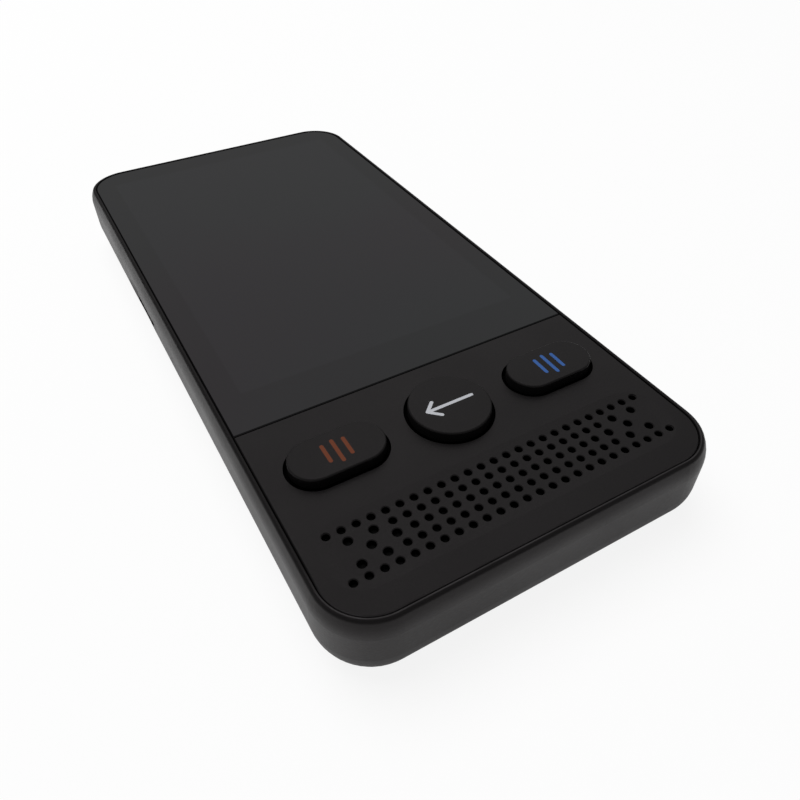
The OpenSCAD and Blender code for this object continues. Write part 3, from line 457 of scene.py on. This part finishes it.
# Each look, with the nodes that wear it
WORN_BY = [
    (housing_plastic(), "rear_housing"),
    (plate_plastic(), "keypad_plate speaker_box"),
    (key_plastic("key_plastic"), "power_key volume_rocker"),
    (face_key_plastic("left_key", 0.5), "left_key"),
    (face_key_plastic("back_key", 0.2), "back_key"),
    (face_key_plastic("right_key", 0.35), "right_key"),
    (screen_glass(), "cover_glass"),
    (display_glass(), "display_cell"),
    (brushed("frame_alloy", (0.42, 0.43, 0.45), 0.42, depth=0.006 * MM), "mid_frame"),
    (brushed("spring_steel", (0.56, 0.56, 0.54), 0.24, (0.06, 1.0, 1.0)),
     "left_dome back_dome right_dome power_plunger rocker_pin"),
    (brushed("screw_steel", (0.11, 0.11, 0.115), 0.34), "chassis_screws board_screws"),
    (brushed("port_steel", (0.54, 0.54, 0.55), 0.26, (1.0, 0.05, 1.0)), "usb_c_port"),
    (brushed("tin_plate", (0.62, 0.62, 0.60), 0.3, (0.05, 1.0, 1.0)),
     "shield_can microphones power_switch volume_switches"),
    (laminate(), "key_board main_board"),
    (film(), "key_board_flex display_flex battery_lead wireless_antenna"),
    (moulded("chip_black", (0.018, 0.018, 0.019), 0.55, 0.12 * MM, 0.006 * MM), "board_chips"),
    (rubber("adhesive_foam", (0.02, 0.02, 0.02), 0.8, 0.3 * MM),
     "glass_adhesive plate_adhesive speaker_gasket battery_tape"),
    (rubber("grey_rubber", (0.10, 0.10, 0.105), 0.6, 0.2 * MM),
     "left_key_pad back_key_pad right_key_pad microphone_boots"),
    (moulded("white_plastic", (0.76, 0.76, 0.73), 0.4, 0.3 * MM, 0.006 * MM, drift=0.04),
     "backlight_unit"),
    (mesh_fabric(), "speaker_mesh"),
    (moulded("speaker_black", (0.016, 0.016, 0.017), 0.5, 0.2 * MM, 0.008 * MM), "speaker_driver"),
    (foil(), "battery"),
]

look_of = {member: look for look, members in WORN_BY for member in members.split()}
for node_name, cad in nodes.items():
    cad.data.materials.clear()
    cad.data.materials.append(look_of[node_name].material)


# ---------- printed marks ----------

# How far the ink stands above the key's top, and how far it reaches into it
INK_UP = 0.004 * MM
INK_DOWN = 0.03 * MM


def arc(centre, radius, first, last, steps):
    """Points on an arc, between two angles in degrees."""
    turns = [math.radians(first + (last - first) * k / steps) for k in range(steps + 1)]
    return [centre + radius * Vector((math.cos(a), math.sin(a))) for a in turns]


def bar(x, middle, length, width):
    """Outline of an upright bar with round ends."""
    reach, steps = (length - width) / 2, 12
    upper = arc(Vector((x, middle + reach)), width / 2, 0, 180, steps)
    lower = arc(Vector((x, middle - reach)), width / 2, 180, 360, steps)
    return upper + lower


def bars():
    """Three bars along Y, the middle one longer and a little nearer the grille."""
    width, pitch = 0.54 * MM, 1.5 * MM
    outer, middle = 3.3 * MM, 4.2 * MM
    drop = 0.15 * MM
    rows = ((-pitch, 0.0, outer), (0.0, -drop, middle), (pitch, 0.0, outer))
    return [bar(x, y, length, width) for x, y, length in rows]


def return_arrow():
    """The outline of a return arrow that points left: a shaft and the two strokes of its head."""
    half = 0.25 * MM
    tip, tail = Vector((-3.5 * MM, 0.0)), Vector((3.5 * MM, 0.0))
    reach, spread = 2.0 * MM, 43
    steps = 10
    turn = math.radians(spread)
    stroke = reach * Vector((math.cos(turn), math.sin(turn)))
    # the strokes meet the shaft where their inner sides cross it
    notch = Vector((tip.x + half / math.tan(turn) + half / math.sin(turn), half))
    upper = [notch] + arc(tip + stroke, half, spread - 90, spread + 90, steps)
    lower = [Vector((p.x, -p.y)) for p in reversed(upper)]
    nose = arc(tip, half, spread + 90, 270 - spread, steps)
    return [arc(tail, half, -90, 90, steps) + upper + nose + lower]


def mark(key, outlines, look):
    """Thin raised ink in the shape of the outlines, on the flat top of a key, attached to the key."""
    x, y = footprint(key)[0]
    levels = (top_of(key) - INK_DOWN, top_of(key) + INK_UP)
    mesh = bpy.data.meshes.new(key + "_mark")
    bm = bmesh.new()
    for outline in outlines:
        low, high = ([bm.verts.new((x + p.x, y + p.y, z)) for p in outline] for z in levels)
        bm.faces.new(high)
        bm.faces.new(list(reversed(low)))
        for k in range(len(outline)):
            j = (k + 1) % len(outline)
            bm.faces.new((low[k], low[j], high[j], high[k]))
    bm.to_mesh(mesh)
    bm.free()
    piece = bpy.data.objects.new(key + "_mark", mesh)
    scene.collection.objects.link(piece)
    mesh.materials.append(look.material)
    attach(piece, key)


mark("left_key", bars(), printed("orange_ink", (0.115, 0.030, 0.012)))
mark("right_key", bars(), printed("blue_ink", (0.032, 0.095, 0.290)))
mark("back_key", return_arrow(), printed("white_ink", (0.46, 0.47, 0.50), open_texture=0.06))


# ---------- floor, light and camera ----------

# Shares of plain white in the floor, as the camera and as gloss see it
FLOOR_TO_CAMERA = 0.88
FLOOR_TO_GLOSS = 0.3
FLOOR_HALF = 0.6
FLOOR_DROP = 0.02 * MM

# Levels of the room, and of the panel at its foot and its top
ROOM = 0.14
PANEL_LOW = 0.06
PANEL_HIGH = 0.47

# Where the photo was taken from, which way it looks and where the picture's right side points
CAMERA_AT = Vector((-39.453, -92.617, 78.071)) * MM
CAMERA_FORWARD = Vector((0.36157, 0.63487, -0.68279))
CAMERA_RIGHT = Vector((0.86720, -0.49794, -0.00378))


def floor():
    """A pale floor. The camera sees it nearly white with a faint shadow, and gloss sees it darker."""
    corners = [(x * FLOOR_HALF, y * FLOOR_HALF, 0) for x, y in ((-1, -1), (1, -1), (1, 1), (-1, 1))]
    mesh = bpy.data.meshes.new("floor")
    mesh.from_pydata(corners, [], [(0, 1, 2, 3)])
    plane = bpy.data.objects.new("floor", mesh)
    plane.location.z = -FLOOR_DROP
    scene.collection.objects.link(plane)
    material = bpy.data.materials.new("pale_floor")
    tree = Tree(material)
    diffuse = tree.add("ShaderNodeBsdfDiffuse")
    diffuse.inputs["Color"].default_value = (0.86, 0.86, 0.86, 1.0)
    white = tree.add("ShaderNodeEmission")
    white.inputs["Strength"].default_value = 1.0
    path = tree.add("ShaderNodeLightPath")
    gloss = tree.math("MAXIMUM", path.outputs["Is Glossy Ray"], path.outputs["Is Transmission Ray"])
    share = tree.math("MULTIPLY_ADD", path.outputs["Is Camera Ray"], FLOOR_TO_CAMERA,
                      tree.math("MULTIPLY", gloss, FLOOR_TO_GLOSS))
    out = tree.add("ShaderNodeOutputMaterial")
    tree.join(tree.mix_shaders(share, diffuse.outputs[0], white.outputs[0]), out.inputs["Surface"])
    mesh.materials.append(material)


def world():
    """Studio surroundings: a dim room with one pale panel. To the camera itself they are white."""
    sky = bpy.data.worlds.new("studio")
    scene.world = sky
    tree = Tree(sky)
    x, y, z = tree.split(tree.add("ShaderNodeTexCoord").outputs["Generated"])
    # the panel stands behind the object, a little to the right, and is brightest at its top
    left = tree.span(x, -0.22, 0.08, 0.0, 1.0, smooth=True)
    right = tree.span(x, 0.85, 0.62, 0.0, 1.0, smooth=True)
    behind = tree.span(y, 0.2, 0.55, 0.0, 1.0, smooth=True)
    panel = tree.math("MULTIPLY", tree.math("MULTIPLY", left, right), behind)
    glow = tree.span(z, 0.3, 0.75, PANEL_LOW, PANEL_HIGH)
    room = tree.add("ShaderNodeBackground")
    tree.join(tree.math("ADD", tree.math("MULTIPLY", panel, glow), ROOM), room.inputs["Strength"])
    white = tree.add("ShaderNodeBackground")
    for background in (room, white):
        background.inputs["Color"].default_value = (1, 1, 1, 1)
    path = tree.add("ShaderNodeLightPath")
    out = tree.add("ShaderNodeOutputWorld")
    seen = tree.mix_shaders(path.outputs["Is Camera Ray"], room.outputs[0], white.outputs[0])
    tree.join(seen, out.inputs["Surface"])


def overhead_light():
    """A large softbox above the far end, aimed at the object."""
    place = Vector((-0.15, 0.30, 0.95))
    data = bpy.data.lights.new("overhead", "AREA")
    data.shape = "DISK"
    data.size = 0.9
    data.energy = 10.5
    lamp = bpy.data.objects.new("overhead", data)
    lamp.location = place
    lamp.rotation_mode = "QUATERNION"
    lamp.rotation_quaternion = (-place).to_track_quat("-Z", "Y")
    # the softbox itself is kept out of the gloss, so the plastic shows only the room and the floor
    lamp.visible_glossy = False
    scene.collection.objects.link(lamp)


def camera():
    """The photo's viewpoint and field of view."""
    data = bpy.data.cameras.new("camera")
    data.sensor_width = 36.0
    data.lens = 31.308
    data.clip_start, data.clip_end = 0.002, 20.0
    cam = bpy.data.objects.new("camera", data)
    up = CAMERA_RIGHT.cross(CAMERA_FORWARD)
    turn = Matrix((CAMERA_RIGHT, up, -CAMERA_FORWARD)).transposed()
    cam.matrix_world = Matrix.Translation(CAMERA_AT) @ turn.to_4x4()
    scene.collection.objects.link(cam)
    scene.camera = cam


floor()
world()
overhead_light()
camera()

scene.view_settings.view_transform = "Standard"
